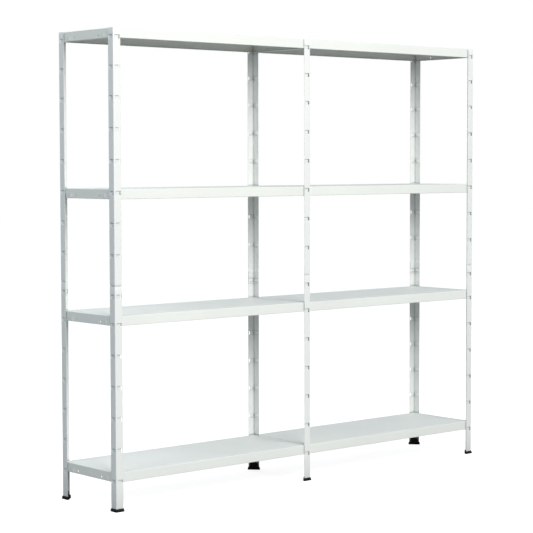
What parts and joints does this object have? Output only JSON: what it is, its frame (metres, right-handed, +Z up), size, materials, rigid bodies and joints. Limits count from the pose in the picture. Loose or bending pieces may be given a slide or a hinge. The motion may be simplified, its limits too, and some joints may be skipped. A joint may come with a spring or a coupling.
{
  "type": "shelving unit",
  "caption": "Two-bay boltless steel shelving unit: L-section posts with lanced tongues, folded tray shelves and plastic feet.",
  "frame": {"origin": "on the floor, midway across the width and the depth of the whole unit", "axes": "+X along the unit towards the second bay, -Y out of the front, +Z up"},
  "size_m": [2.0076, 0.3696, 1.84],
  "materials": {
    "post_paint": "white powder coat, satin, faint orange peel",
    "shelf_paint": "white powder coat, satin, faint orange peel",
    "foot_plastic": "black moulded plastic, fine matt texture"
  },
  "bodies": {
    "root": {"post_lower_front_left": "post_paint", "post_upper_front_left": "post_paint", "foot_cap_front_left": "foot_plastic", "post_lower_front_middle": "post_paint", "post_upper_front_middle": "post_paint", "foot_cap_front_middle": "foot_plastic", "post_lower_front_right": "post_paint", "post_upper_front_right": "post_paint", "foot_cap_front_right": "foot_plastic", "post_lower_rear_left": "post_paint", "post_upper_rear_left": "post_paint", "foot_cap_rear_left": "foot_plastic", "post_lower_rear_middle": "post_paint", "post_upper_rear_middle": "post_paint", "foot_cap_rear_middle": "foot_plastic", "post_lower_rear_right": "post_paint", "post_upper_rear_right": "post_paint", "foot_cap_rear_right": "foot_plastic", "shelf_left_level_1": "shelf_paint", "shelf_left_level_2": "shelf_paint", "shelf_left_level_3": "shelf_paint", "shelf_left_level_4": "shelf_paint", "shelf_right_level_1": "shelf_paint", "shelf_right_level_2": "shelf_paint", "shelf_right_level_3": "shelf_paint", "shelf_right_level_4": "shelf_paint"}
  },
  "joints": []
}
